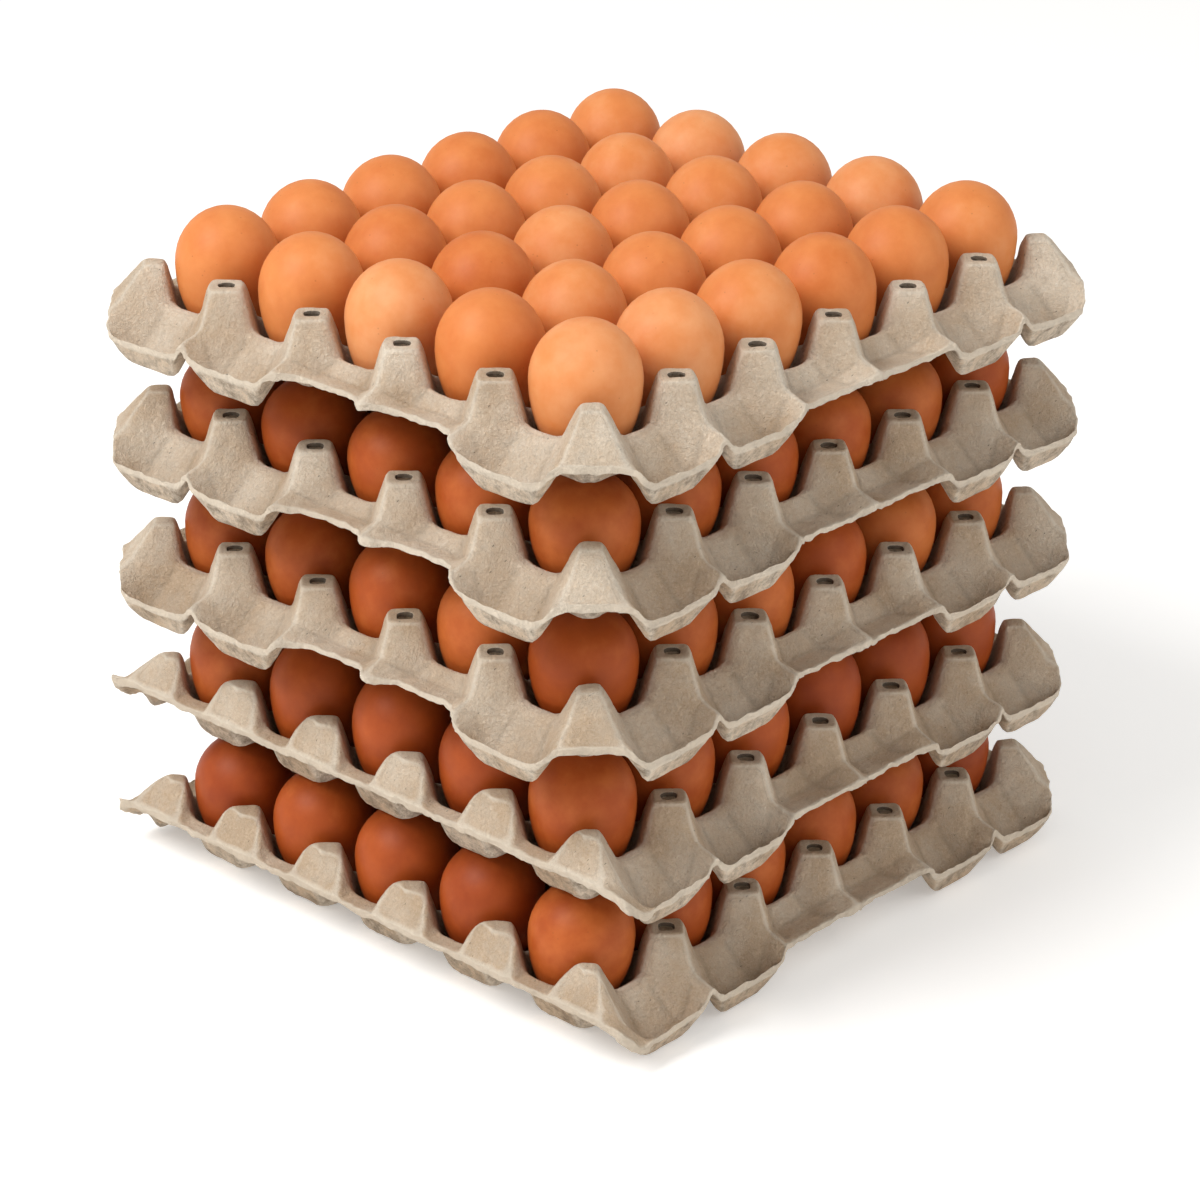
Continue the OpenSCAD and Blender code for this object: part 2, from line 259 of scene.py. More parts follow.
@dataclass(frozen=True)
class MouldedPulp:
    """Grey-beige paper pulp, sucked onto a wire mould and dried: matt, felted and full of flecks."""

    pale: str = "#EDDCC6"
    deep: str = "#CDB498"
    lip: str = "#E8DAC6"
    # Pale of rubbed ridge crests, with a painted highlight on them
    worn_and_highlight: str = "#EDE1CF"
    # Dark of smudges and hairlines, also used as painted shade in valleys, beside ridges and on the undersides
    smudge_and_shade: str = "#766452"
    # Dark of printed flecks, also used as painted shade in the torn holes
    fleck_and_hole_shade: str = "#564A3D"
    mottle_mm: float = 30.0
    dirt_mm: float = 7.5
    felt_mm: float = 1.5
    hair_mm: float = 9.0
    lump_mm: float = 5.0
    fleck_mm: float = 6.5
    fleck_turn: tuple[float, float, float] = (0.5, 0.9, 0.3)
    fleck_stretch: tuple[float, float, float] = (1.0, 0.34, 1.0)
    bump_mm: float = 1.9

    def make(self) -> bpy.types.Material:
        """Builds the material.

        Returns:
            A material that reads the marks lip, fold, under, tear and stock of a tray.
        """
        material, tree = open_material("moulded paper pulp")
        place = add(tree, "ShaderNodeTexCoord").outputs["Object"]
        lip, fold, under, tear, lower_darker = (
            add(tree, "ShaderNodeAttribute", attribute_name=name).outputs["Fac"]
            for name in ("lip", "fold", "under", "tear", "stock"))
        # Broad clouds of paler and darker pulp, as the slurry settled on the mould; each tray is shifted darker
        # towards the bottom of the stack
        mottle = add(tree, "ShaderNodeTexNoise", {
            "Vector": place, "Scale": per_mm(self.mottle_mm), "Detail": 6.0, "Roughness": 0.68})
        stock = add(tree, "ShaderNodeValToRGB", {
            "Fac": add(tree, "ShaderNodeMath", {0: mottle, 1: lower_darker}, operation="SUBTRACT")})
        set_stops(stock.color_ramp, [(0.34, self.deep), (0.62, self.pale)])
        # Felted fibres: the real ones are a few hundredths of a millimetre, drawn coarser to show
        felt = add(tree, "ShaderNodeTexNoise", {
            "Vector": place, "Scale": per_mm(self.felt_mm), "Detail": 4.0, "Roughness": 0.75, "Distortion": 1.6})
        colour = add(tree, "ShaderNodeMixRGB", {
            "Fac": 0.85, "Color1": stock, "Color2": add(tree, "ShaderNodeValToRGB", {"Fac": felt}),
        }, blend_type="SOFT_LIGHT")
        # Single long fibres and hairline wrinkles, where bent noise crosses its middle value
        hair = add(tree, "ShaderNodeTexNoise", {
            "Vector": place, "Scale": per_mm(self.hair_mm), "Detail": 3.0, "Roughness": 0.55, "Distortion": 2.5})
        off = add(tree, "ShaderNodeMath", {
            0: add(tree, "ShaderNodeMath", {0: hair, 1: 0.5}, operation="SUBTRACT")}, operation="ABSOLUTE")
        line = add(tree, "ShaderNodeMapRange", {
            "Value": off, "From Min": 0.004, "From Max": 0.016, "To Min": 1.0, "To Max": 0.0})
        patchy = add(tree, "ShaderNodeMapRange", {
            "Value": mottle, "From Min": 0.45, "From Max": 0.6, "To Min": 0.0, "To Max": 0.2})
        wrinkle = add(tree, "ShaderNodeMath", {0: line, 1: patchy}, operation="MULTIPLY")
        # Short dark flecks of printed paper, in about two fifths of the cells of a stretched grid
        stretched = add(tree, "ShaderNodeMapping", {
            "Vector": place, "Rotation": self.fleck_turn, "Scale": self.fleck_stretch}, vector_type="TEXTURE")
        cells = add(tree, "ShaderNodeTexVoronoi", {
            "Vector": stretched, "Scale": per_mm(self.fleck_mm)}, feature="F1")
        near = add(tree, "ShaderNodeMapRange", {
            "Value": cells, "From Min": 0.05, "From Max": 0.11, "To Min": 0.7, "To Max": 0.0})
        some = add(tree, "ShaderNodeSeparateColor", {"Color": cells.outputs["Color"]})
        chosen = add(tree, "ShaderNodeMath", {0: some, 1: 0.6}, operation="GREATER_THAN")
        flecks = add(tree, "ShaderNodeMath", {0: near, 1: chosen}, operation="MULTIPLY")
        # Ridge crests are rubbed pale and carry a painted highlight, with a broken dark line of painted shade beside
        # them along a line pressed by the mould
        rubbed_and_highlight = add(tree, "ShaderNodeMapRange", {
            "Value": fold, "From Min": 0.55, "From Max": 1.0, "To Min": 0.0, "To Max": 0.62})
        beside = add(tree, "ShaderNodeMath", {0: fold, 1: 0.45, 2: 0.07}, operation="COMPARE")
        broken = add(tree, "ShaderNodeMapRange", {
            "Value": mottle, "From Min": 0.5, "From Max": 0.56, "To Min": 0.0, "To Max": 0.12})
        pressed_line_shade = add(tree, "ShaderNodeMath", {0: beside, 1: broken}, operation="MULTIPLY")
        # Valleys are painted a little darker as shade
        valley_shade = add(tree, "ShaderNodeMapRange", {
            "Value": fold, "From Min": -0.4, "From Max": -1.0, "To Min": 0.0, "To Max": 0.22})
        # Smudges from the mould's wire, faint above; on the undersides they are stronger and greyer as painted shade
        dirt = add(tree, "ShaderNodeTexNoise", {
            "Vector": place, "Scale": per_mm(self.dirt_mm), "Detail": 6.0, "Roughness": 0.78})
        dirty = add(tree, "ShaderNodeMapRange", {
            "Value": dirt, "From Min": 0.42, "From Max": 0.66, "To Min": 0.0, "To Max": 0.85})
        under_shade_share = add(tree, "ShaderNodeMath", {0: under, 1: 0.76, 2: 0.24}, operation="MULTIPLY_ADD")
        smudge_and_under_shade = add(tree, "ShaderNodeMath", {0: under_shade_share, 1: dirty}, operation="MULTIPLY")
        # Cut lips are scuffed paler, and torn holes are painted darker as shade inside the hollow posts
        scuffed = add(tree, "ShaderNodeMapRange", {
            "Value": lip, "From Min": 0.86, "From Max": 1.0, "To Min": 0.0, "To Max": 0.7})
        hole_shade = add(tree, "ShaderNodeMapRange", {
            "Value": tear, "From Min": 0.96, "From Max": 1.0, "To Min": 0.0, "To Max": 0.85})
        # Each of these lies over the ones before it
        for share, code in ((wrinkle, self.smudge_and_shade), (flecks, self.fleck_and_hole_shade), (rubbed_and_highlight, self.worn_and_highlight),
                            (pressed_line_shade, self.smudge_and_shade), (valley_shade, self.smudge_and_shade), (smudge_and_under_shade, self.smudge_and_shade),
                            (scuffed, self.lip), (hole_shade, self.fleck_and_hole_shade)):
            colour = add(tree, "ShaderNodeMixRGB", {"Fac": share, "Color1": colour, "Color2": linear(code)})
        # Felt and small lumps catch the light
        lump = add(tree, "ShaderNodeTexNoise", {
            "Vector": place, "Scale": per_mm(self.lump_mm), "Detail": 5.0, "Roughness": 0.72})
        grain = add(tree, "ShaderNodeMath", {0: felt, 1: 0.6, 2: lump}, operation="MULTIPLY_ADD")
        bump = add(tree, "ShaderNodeBump", {"Strength": 1.0, "Distance": self.bump_mm * MM, "Height": grain})
        shader = add(tree, "ShaderNodeBsdfPrincipled", {
            "Base Color": colour, "Roughness": 0.93, "IOR": 1.45, "Specular IOR Level": 0.2, "Normal": bump})
        add(tree, "ShaderNodeOutputMaterial", {"Surface": shader})
        return material


@dataclass(frozen=True)
class Eggshell:
    """Brown hen's eggshell, washed: satin, with a soft glow below the surface and faint pores."""

    tones: tuple[str, ...] = ("#E6A06C", "#DB8649", "#CB6F33", "#AC4E18", "#923A0E")
    speck: str = "#8E4A22"
    cloud_mm: float = 15.0
    pore_mm: float = 1.1
    speck_mm: float = 4.0
    bump_mm: float = 0.2
    glow_mm: float = 2.5

    def make(self) -> bpy.types.Material:
        """Builds the material.

        Returns:
            A material that reads the mark tone of each egg.
        """
        material, tree = open_material("brown eggshell")
        place = add(tree, "ShaderNodeTexCoord").outputs["Object"]
        tone = add(tree, "ShaderNodeAttribute", attribute_name="tone").outputs["Fac"]
        # The pigment lies in faint clouds round the tone of the egg
        cloud = add(tree, "ShaderNodeTexNoise", {
            "Vector": place, "Scale": per_mm(self.cloud_mm), "Detail": 4.0, "Roughness": 0.6})
        shift = add(tree, "ShaderNodeMapRange", {
            "Value": cloud, "From Min": 0.3, "From Max": 0.7, "To Min": -0.1, "To Max": 0.1})
        pigment = add(tree, "ShaderNodeValToRGB", {
            "Fac": add(tree, "ShaderNodeMath", {0: tone, 1: shift}, operation="ADD")})
        set_stops(pigment.color_ramp, [(k / (len(self.tones) - 1), code) for k, code in enumerate(self.tones)])
        # Faint specks of darker pigment, in about a quarter of the cells of a grid
        specks = add(tree, "ShaderNodeTexVoronoi", {
            "Vector": place, "Scale": per_mm(self.speck_mm)}, feature="F1")
        near = add(tree, "ShaderNodeMapRange", {
            "Value": specks, "From Min": 0.04, "From Max": 0.12, "To Min": 0.35, "To Max": 0.0})
        some = add(tree, "ShaderNodeSeparateColor", {"Color": specks.outputs["Color"]})
        chosen = add(tree, "ShaderNodeMath", {0: some, 1: 0.72}, operation="GREATER_THAN")
        speckled = add(tree, "ShaderNodeMixRGB", {
            "Fac": add(tree, "ShaderNodeMath", {0: near, 1: chosen}, operation="MULTIPLY"),
            "Color1": pigment, "Color2": linear(self.speck)})
        # Pores are a tenth of a millimetre on the real shell, drawn coarser to show
        pores = add(tree, "ShaderNodeTexNoise", {
            "Vector": place, "Scale": per_mm(self.pore_mm), "Detail": 2.0, "Roughness": 0.5})
        bump = add(tree, "ShaderNodeBump", {"Strength": 0.12, "Distance": self.bump_mm * MM, "Height": pores})
        shader = add(tree, "ShaderNodeBsdfPrincipled", {
            "Base Color": speckled, "Roughness": 0.52, "IOR": 1.5, "Specular IOR Level": 0.28,
            "Subsurface Weight": 0.12, "Subsurface Radius": (1.0, 0.45, 0.25),
            "Subsurface Scale": self.glow_mm * MM, "Normal": bump})
        add(tree, "ShaderNodeOutputMaterial", {"Surface": shader})
        return material


@dataclass(frozen=True)
class PaperSweep:
    """White studio paper, lit from below: matt, so that it stays white beside the shadow."""

    shade: str = "#F7F6F4"
    glow: float = 0.31

    def make(self) -> bpy.types.Material:
        """Builds the material.

        Returns:
            A matt white material.
        """
        material, tree = open_material("studio paper")
        shader = add(tree, "ShaderNodeBsdfPrincipled", {
            "Base Color": linear(self.shade), "Roughness": 0.95, "Specular IOR Level": 0.1,
            "Emission Color": linear(self.shade), "Emission Strength": self.glow})
        add(tree, "ShaderNodeOutputMaterial", {"Surface": shader})
        return material


# Pieces


class StackPiece:
    """A piece of the stack, which stands for one solid of the frame."""

    def dress(self, piece: bpy.types.Object, node: str, slot: str) -> None:
        """Fixes the finished piece to the frame and reports it.

        Args:
            piece: Object of the piece.
            node: Solid that it stands for.
            slot: Not used.
        """
        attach(piece, "root")
        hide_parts(node)
        LOG.info("%s: %d faces", piece.name, len(piece.data.polygons))


@dataclass(frozen=True)
class TraySizes:
    """Sizes of one tray in millimetres, measured from the foot of its cups, and a few shares of them."""

    cells_u: int = 6
    cells_v: int = 5
    pitch_u: float = 48.0
    pitch_v: float = 50.6
    height: float = 40.4
    sheet: float = 2.2
    # Posts, saddles and cups
    top_w: float = 14.4
    saddle_drop: float = 14.5
    floor_inset: float = 13.0
    hole_d: float = 7.4
    hole_dish: float = 0.35
    corner_lean: float = 3.0
    corner_drop: float = 1.5
    # Skirt
    skirt_w: float = 26.0
    ridge_drop: float = 18.5
    end_ridge_out: float = 20.8
    lip_drop: float = 25.5
    lip_start: float = 5.0
    lip_t: float = 2.5
    corner_lip_drop: float = 27.0
    trough_rise: float = 4.4
    trough_taper: float = 8.0
    trough_at: float = 19.76
    # Grips on the short sides and on the long ones
    grip_at: float = 7.8
    grip_drop: float = 21.0
    grip_lip_out: float = 15.6
    long_grip_drop: float = 24.0
    long_grip_lip_out: float = 19.5
    # Straight side
    straight_w: float = 8.0
    straight_top: float = 3.2
    straight_drop: float = 1.212
    straight_end_drop: float = 30.0
    straight_end_along: float = 5.0
    straight_lip_start: float = 14.0
    # Shares of a top's reach, a hole's width, a grip's drop and the pitch
    corner_top: float = 0.62
    hole_taper: float = 0.12
    hole_tear: float = 0.09
    grip_lip_rise: float = 0.025
    grip_lip_start: float = 0.19

    @property
    def tip(self) -> float:
        """Distance of a post top's corners from its middle."""
        return self.top_w / math.sqrt(2)

    @property
    def post_fall(self) -> float:
        """Fall of a post's face for each step along either grid way."""
        return (self.height - self.sheet) / (2 * self.floor_inset - self.tip)

    @property
    def wall_fall(self) -> float:
        """Fall of a cup's wall for each step from the posts' line."""
        return (self.height - self.sheet - self.saddle_drop) / self.floor_inset

    @property
    def face_t(self) -> float:
        """Upright thickness of the sheet on a post's face."""
        return self.sheet * math.sqrt(1 + 2 * self.post_fall ** 2)

    @property
    def wall_t(self) -> float:
        """Upright thickness of the sheet on a cup's wall."""
        return self.sheet * math.sqrt(1 + self.wall_fall ** 2)

    def tip_at(self, s: int) -> float:
        """Distance of a top's corners on the upper (0) or under (1) face."""
        return self.tip - s * (self.face_t - self.sheet) / self.post_fall

    def knee_at(self, s: int) -> float:
        """Distance of a post's knees on the upper (0) or under (1) face."""
        return self.tip + (self.saddle_drop + s * (self.wall_t - self.face_t)) / self.post_fall

    def saddle_z(self, s: int) -> float:
        """Height of the saddles on the upper (0) or under (1) face."""
        return self.height - self.saddle_drop - s * self.wall_t

    def inset_at(self, s: int) -> float:
        """Distance of a cup's floor from the posts' line on either face."""
        return self.floor_inset if s == 0 else self.saddle_z(1) / self.wall_fall

    def on_face(self, drop: float, out: float) -> float:
        """Distance along a side at which a post's face has fallen this far."""
        return self.tip + drop / self.post_fall - out

    def grip(self, side: Side) -> tuple[float, float]:
        """Drop of a side's grips and reach of their lip."""
        return (self.grip_drop, self.grip_lip_out) if side.short else (self.long_grip_drop, self.long_grip_lip_out)


class SheetCage:
    """Named corners of a tray's sheet on both faces, and the faces between them."""

    CUP_POST = ((1, 1), (0, 1), (0, 0), (1, 0))
    FIRST_WAY = (3, 0, 1, 2)
    SECOND_WAY = (2, 3, 0, 1)
    CORNER_SIGN = ((1, 1), (-1, 1), (-1, -1), (1, -1))
    RING = 8
    # How far the under face leaves the upper one, in sheet or lip thicknesses
    HALF_TOP_IN = 0.9
    GRIP_DOWN = 1.25
    TROUGH_OUT, TROUGH_DOWN = 0.3, 1.5
    RIDGE_DOWN = 1.5
    RIM_IN, RIM_DOWN = 0.6, 1.5
    RIM_END_UPPER, RIM_END_DOWN = 0.2, 3.0

    def __init__(self, sizes: TraySizes, straight: bool, chance: random.Random) -> None:
        """Lists the faces of one tray.

        Args:
            sizes: Sizes of the tray.
            straight: True where the left side is a straight one.
            chance: Source of the torn holes' shapes.
        """
        self.sizes = sizes
        self.straight = straight
        self.tears = {
            (i, j): [1 + chance.uniform(-sizes.hole_tear, sizes.hole_tear) for _ in range(self.RING)]
            for i in range(sizes.cells_u + 1) for j in range(sizes.cells_v + 1)
        }
        self.faces: list[tuple[list[Key], Detail]] = []
        self.rim: list[tuple[Key, Key]] = []
        self.holes: list[tuple[int, int]] = []
        self._list_tops()
        self._list_cups()
        for side in Side:
            if side is Side.LEFT and straight:
                self._list_straight()
            else:
                self._list_skirt(side)
        self._list_corners()

    # Places on the grid

    def post_xy(self, i: int, j: int) -> np.ndarray:
        """Middle of a post."""
        z = self.sizes
        return np.array([(i - z.cells_u / 2) * z.pitch_u, (j - z.cells_v / 2) * z.pitch_v])

    def is_corner(self, i: int, j: int) -> bool:
        """True for the four corner posts."""
        return i in (0, self.sizes.cells_u) and j in (0, self.sizes.cells_v)

    def on_border(self, i: int, j: int) -> bool:
        """True for the posts of the outer rows."""
        return i in (0, self.sizes.cells_u) or j in (0, self.sizes.cells_v)

    def cells(self, side: Side) -> int:
        """Number of cells along a side."""
        return self.sizes.cells_v if side.short else self.sizes.cells_u

    def side_post(self, side: Side, n: int) -> tuple[int, int]:
        """Grid place of a post on a side.

        Args:
            side: Side of the tray.
            n: Post along it.

        Returns:
            Its places along the long side and the short side.
        """
        z = self.sizes
        return {Side.LEFT: (0, n), Side.RIGHT: (z.cells_u, n),
                Side.FRONT: (n, 0), Side.BACK: (n, z.cells_v)}[side]

    def side_xy(self, side: Side, n: int, along: float, out: float) -> np.ndarray:
        """A point beside a post of a side."""
        return self.post_xy(*self.side_post(side, n)) + WAYS[side.along] * along + WAYS[side.out] * out

    def is_grip(self, side: Side, c: int) -> bool:
        """True where a cell of a side is a flat grip."""
        return c in ((1, 2) if side.short else (2, 3))

    def dips(self, side: Side, n: int) -> bool:
        """True where a ridge runs into the low point at the end of a straight side."""
        return self.straight and n == 0 and not side.short

    # Corners: plan and height, on the upper (0) or under (1) face

    def place(self, key: Key, s: int) -> np.ndarray:
        """Gives the place of a named corner.

        Args:
            key: Kind of the corner and where it is.
            s: Upper (0) or under (1) face.

        Returns:
            x, y and z in millimetres, with z from the tray's foot.
        """
        kinds = {"tip": self._tip, "ring": self._ring, "knee": self._knee, "floor": self._floor, "low": self._low,
                 "lip": self._lip, "ridge": self._ridge, "rim": self._rim, "rimend": self._rimend}
        xy, height = kinds[key[0]](*key[1:], s)
        return np.array([xy[0], xy[1], height])

    def _tip(self, i: int, j: int, w: int, s: int) -> Spot:
        """Corner of a post's top.

        Args:
            i: Place of the post along the long side.
            j: Place of the post along the short side.
            w: Way from the post's middle.
            s: Upper (0) or under (1) face.

        Returns:
            Its plan and its height.
        """
        z = self.sizes
        spot, reach, drop = self.post_xy(i, j), z.tip_at(s), 0.0
        if self.is_corner(i, j):
            spot = spot + z.corner_lean * np.array([1 if i == 0 else -1, 1 if j == 0 else -1])
            reach, drop = reach - z.tip * (1 - z.corner_top), z.corner_drop
        if self.straight and i == 0 and w == 2:
            reach = z.straight_top - s * z.sheet * self.HALF_TOP_IN
        return spot + WAYS[w] * reach, z.height - drop - s * z.sheet

    def _ring(self, i: int, j: int, k: int, s: int) -> Spot:
        """Point on the torn hole of a post's top, which is dished a little round it.

        Args:
            i: Place of the post along the long side.
            j: Place of the post along the short side.
            k: Place round the hole.
            s: Upper (0) or under (1) face.

        Returns:
            Its plan and its height.
        """
        z = self.sizes
        turn = 2 * math.pi * k / self.RING
        reach = z.hole_d / 2 * self.tears[i, j][k] * (1 - z.hole_taper * s)
        return (self.post_xy(i, j) + reach * np.array([math.cos(turn), math.sin(turn)]),
                z.height - s * z.sheet - z.hole_dish * (1 - s))

    def _knee(self, i: int, j: int, w: int, s: int) -> Spot:
        """End of a post's edge at a saddle."""
        z = self.sizes
        return self.post_xy(i, j) + WAYS[w] * z.knee_at(s), z.saddle_z(s)

    def _floor(self, a: int, b: int, q: int, s: int) -> Spot:
        """Corner of a cup's floor.

        Args:
            a: Place of the cup along the long side.
            b: Place of the cup along the short side.
            q: Corner of the floor.
            s: Upper (0) or under (1) face.

        Returns:
            Its plan and its height.
        """
        z = self.sizes
        half = np.array([z.pitch_u, z.pitch_v]) / 2
        return (self.post_xy(a, b) + half + self.CORNER_SIGN[q] * (half - z.inset_at(s)),
                z.sheet * (1 - s))

    def _low(self, side: Side, c: int, k: int, s: int) -> Spot:
        """End of the low line of a skirt cell, a trough's bottom or a grip's inner line.

        Args:
            side: Side of the skirt.
            c: Cell along it.
            k: First (0) or second (1) end.
            s: Upper (0) or under (1) face.

        Returns:
            Its plan and its height.
        """
        z = self.sizes
        if self.is_grip(side, c):
            fall, out = z.grip(side)[0], z.grip_at
            along, height = z.on_face(fall, out), z.height - fall - s * z.sheet * self.GRIP_DOWN
        else:
            along = z.on_face(z.height - z.trough_rise, z.trough_at) + z.trough_taper
            out, height = z.trough_at + s * z.sheet * self.TROUGH_OUT, z.trough_rise - s * z.sheet * self.TROUGH_DOWN
        return self.side_xy(side, c + k, (1 - 2 * k) * (along - s * z.sheet), out), height

    def _lip(self, side: Side, c: int, k: int, s: int) -> Spot:
        """End of the straight run of a skirt cell's lip.

        Args:
            side: Side of the skirt.
            c: Cell along it.
            k: First (0) or second (1) end.
            s: Upper (0) or under (1) face.

        Returns:
            Its plan and its height.
        """
        z = self.sizes
        if self.is_grip(side, c):
            fall, out = z.grip(side)
            fall *= 1 - z.grip_lip_rise
            along = (z.pitch_v if side.short else z.pitch_u) * z.grip_lip_start
        else:
            ends = (c, k) in ((0, 0), (self.cells(side) - 1, 1))
            fall, out = z.corner_lip_drop if ends else z.lip_drop, z.skirt_w
            along = z.straight_lip_start if k == 0 and self.dips(side, c) else z.lip_start
        return self.side_xy(side, c + k, (1 - 2 * k) * along, out), z.height - fall - s * z.lip_t

    def _ridge(self, side: Side, n: int, s: int) -> Spot:
        """Outer end of a ridge that runs out from a post.

        Args:
            side: Side of the skirt.
            n: Post along it.
            s: Upper (0) or under (1) face.

        Returns:
            Its plan and its height.
        """
        z = self.sizes
        if self.dips(side, n):
            return (self.side_xy(side, n, z.straight_end_along, z.skirt_w),
                    z.height - z.straight_end_drop - s * z.lip_t)
        out = z.end_ridge_out if n in (0, self.cells(side)) else z.skirt_w
        return self.side_xy(side, n, 0, out), z.height - z.ridge_drop - s * z.sheet * self.RIDGE_DOWN

    def _flange(self, n: int, along: float, down: float, s: int) -> Spot:
        """Point on the edge of a straight side.

        Args:
            n: Post along the side.
            along: Distance from the post.
            down: Lip thicknesses below the edge's upper line.
            s: Upper (0) or under (1) face.

        Returns:
            Its plan and its height.
        """
        z = self.sizes
        return (self.side_xy(Side.LEFT, n, along, z.straight_w - s * z.sheet * self.RIM_IN),
                z.saddle_z(0) - z.straight_drop - down * z.lip_t)

    def _rim(self, n: int, e: int, s: int) -> Spot:
        """Point on the rim of a straight side, beside a post."""
        return self._flange(n, (2 * e - 1) * self.sizes.knee_at(0), s * self.RIM_DOWN, s)

    def _rimend(self, e: int, s: int) -> Spot:
        """Blunt end of the rim of a straight side, where the lip is rolled to three times its thickness."""
        z = self.sizes
        return self._flange(z.cells_v * e, (2 * e - 1) * z.skirt_w, self.RIM_END_UPPER + self.RIM_END_DOWN * s, s)

    # Faces, seen from above

    def _list(self, faces: list[list[Key]], sense: int, level: Detail) -> None:
        """Keeps faces with their level of detail, turned round where the side runs the other way.

        Args:
            faces: Corners of each face.
            sense: Minus one where the side runs the other way.
            level: Level of detail of them all.
        """
        for face in faces:
            self.faces.append((face if sense > 0 else face[::-1], level))

    def _list_tops(self) -> None:
        """Lists the tops of the posts, with their torn holes."""
        z = self.sizes
        for i in range(z.cells_u + 1):
            for j in range(z.cells_v + 1):
                tips = [("tip", i, j, w) for w in range(4)]
                if self.is_corner(i, j) or (self.straight and i == 0):
                    self._list([tips], 1, Detail.FINE)
                    continue
                self.holes.append((i, j))
                ring = [("ring", i, j, k) for k in range(self.RING)]
                self._list([[tips[w], tips[(w + 1) % 4], ring[(2 * w + 2) % self.RING], ring[2 * w + 1], ring[2 * w]]
                            for w in range(4)], 1, Detail.FINE if self.on_border(i, j) else Detail.PLAIN)

    def _list_cups(self) -> None:
        """Lists the cups between every four posts."""
        z = self.sizes
        for a in range(z.cells_u):
            for b in range(z.cells_v):
                posts = [(a + p, b + q) for p, q in self.CUP_POST]
                floor = [("floor", a, b, q) for q in range(4)]
                first = [("knee", *posts[q], self.FIRST_WAY[q]) for q in range(4)]
                second = [("knee", *posts[q], self.SECOND_WAY[q]) for q in range(4)]
                self._list([floor], 1, Detail.PLAIN)
                for q in range(4):
                    n = (q + 1) % 4
                    outer = self.on_border(*posts[q])
                    edge = outer and self.on_border(*posts[n])
                    self._list([[first[q], ("tip", *posts[q], self.FIRST_WAY[q]),
                                 ("tip", *posts[q], self.SECOND_WAY[q]), second[q]]],
                               1, Detail.FINE if outer else Detail.PLAIN)
                    self._list([[floor[q], first[q], second[q]]], 1, Detail.PLAIN)
                    self._list([[floor[q], second[q], first[n], floor[n]]],
                               1, Detail.FINE if edge else Detail.PLAIN)

    def _list_skirt(self, side: Side) -> None:
        """Lists the cells of a side with a skirt.

        Args:
            side: Side of the tray.
        """
        on, back, out = side.along, side.along + 2, side.out
        for c in range(self.cells(side)):
            p, q = self.side_post(side, c), self.side_post(side, c + 1)
            low = [("low", side, c, k) for k in (0, 1)]
            lip = [("lip", side, c, k) for k in (0, 1)]
            ridge = [("ridge", side, c + k) for k in (0, 1)]
            self._list([
                [("knee", *p, on), ("knee", *q, back), low[1], low[0]],
                [("knee", *p, out), ("tip", *p, out), ("tip", *p, on), ("knee", *p, on)],
                [low[0], ("knee", *p, out), ("knee", *p, on)],
                [("knee", *q, back), ("tip", *q, back), ("tip", *q, out), ("knee", *q, out)],
                [low[1], ("knee", *q, back), ("knee", *q, out)],
                [low[0], lip[0], ridge[0], ("knee", *p, out)],
                [low[1], ("knee", *q, out), ridge[1], lip[1]],
                [low[0], low[1], lip[1], lip[0]],
            ], side.sense, Detail.FINE)
            edges = [(ridge[1], lip[1]), (lip[1], lip[0]), (lip[0], ridge[0])]
            self.rim += edges if side.sense > 0 else [(b, a) for a, b in edges]

    def _list_corners(self) -> None:
        """Lists the cut-off corners between two skirts."""
        z = self.sizes
        for i in ((z.cells_u,) if self.straight else (0, z.cells_u)):
            for j in (0, z.cells_v):
                sense = 1 if (i == 0) == (j == 0) else -1
                a, b = (2 if i == 0 else 0), (3 if j == 0 else 1)
                ends = (("ridge", Side.LEFT if i == 0 else Side.RIGHT, j),
                        ("ridge", Side.FRONT if j == 0 else Side.BACK, i))
                self._list([
                    [("tip", i, j, a), ("knee", i, j, a), ("knee", i, j, b), ("tip", i, j, b)],
                    [("knee", i, j, a), ends[0], ends[1], ("knee", i, j, b)],
                ], sense, Detail.FINE)
                self.rim.append(ends if sense > 0 else ends[::-1])

    def _list_straight(self) -> None:
        """Lists a straight side: half posts, a narrow flange and its two ends."""
        last = self.sizes.cells_v
        faces: list[list[Key]] = []
        for n in range(last + 1):
            tip = {w: ("tip", 0, n, w) for w in (1, 2, 3)}
            rim = [("rim", n, e) for e in (0, 1)]
            faces += [[tip[1], ("knee", 0, n, 1), rim[1]],
                      [tip[2], tip[1], rim[1], rim[0], tip[3]],
                      [tip[3], rim[0], ("knee", 0, n, 3)]]
            self.rim.append((rim[1], rim[0]))
            if n < last:
                after = ("rim", n + 1, 0)
                faces.append([("knee", 0, n, 1), ("knee", 0, n + 1, 3), after, rim[1]])
                self.rim.append((after, rim[1]))
        front, back = ("ridge", Side.FRONT, 0), ("ridge", Side.BACK, 0)
        faces += [[("knee", 0, 0, 3), ("rim", 0, 0), ("rimend", 0), front],
                  [("knee", 0, last, 1), back, ("rimend", 1), ("rim", last, 1)]]
        self.rim += [(("rim", 0, 0), ("rimend", 0)), (("rimend", 0), front),
                     (back, ("rimend", 1)), (("rimend", 1), ("rim", last, 1))]
        self._list(faces, 1, Detail.FINE)

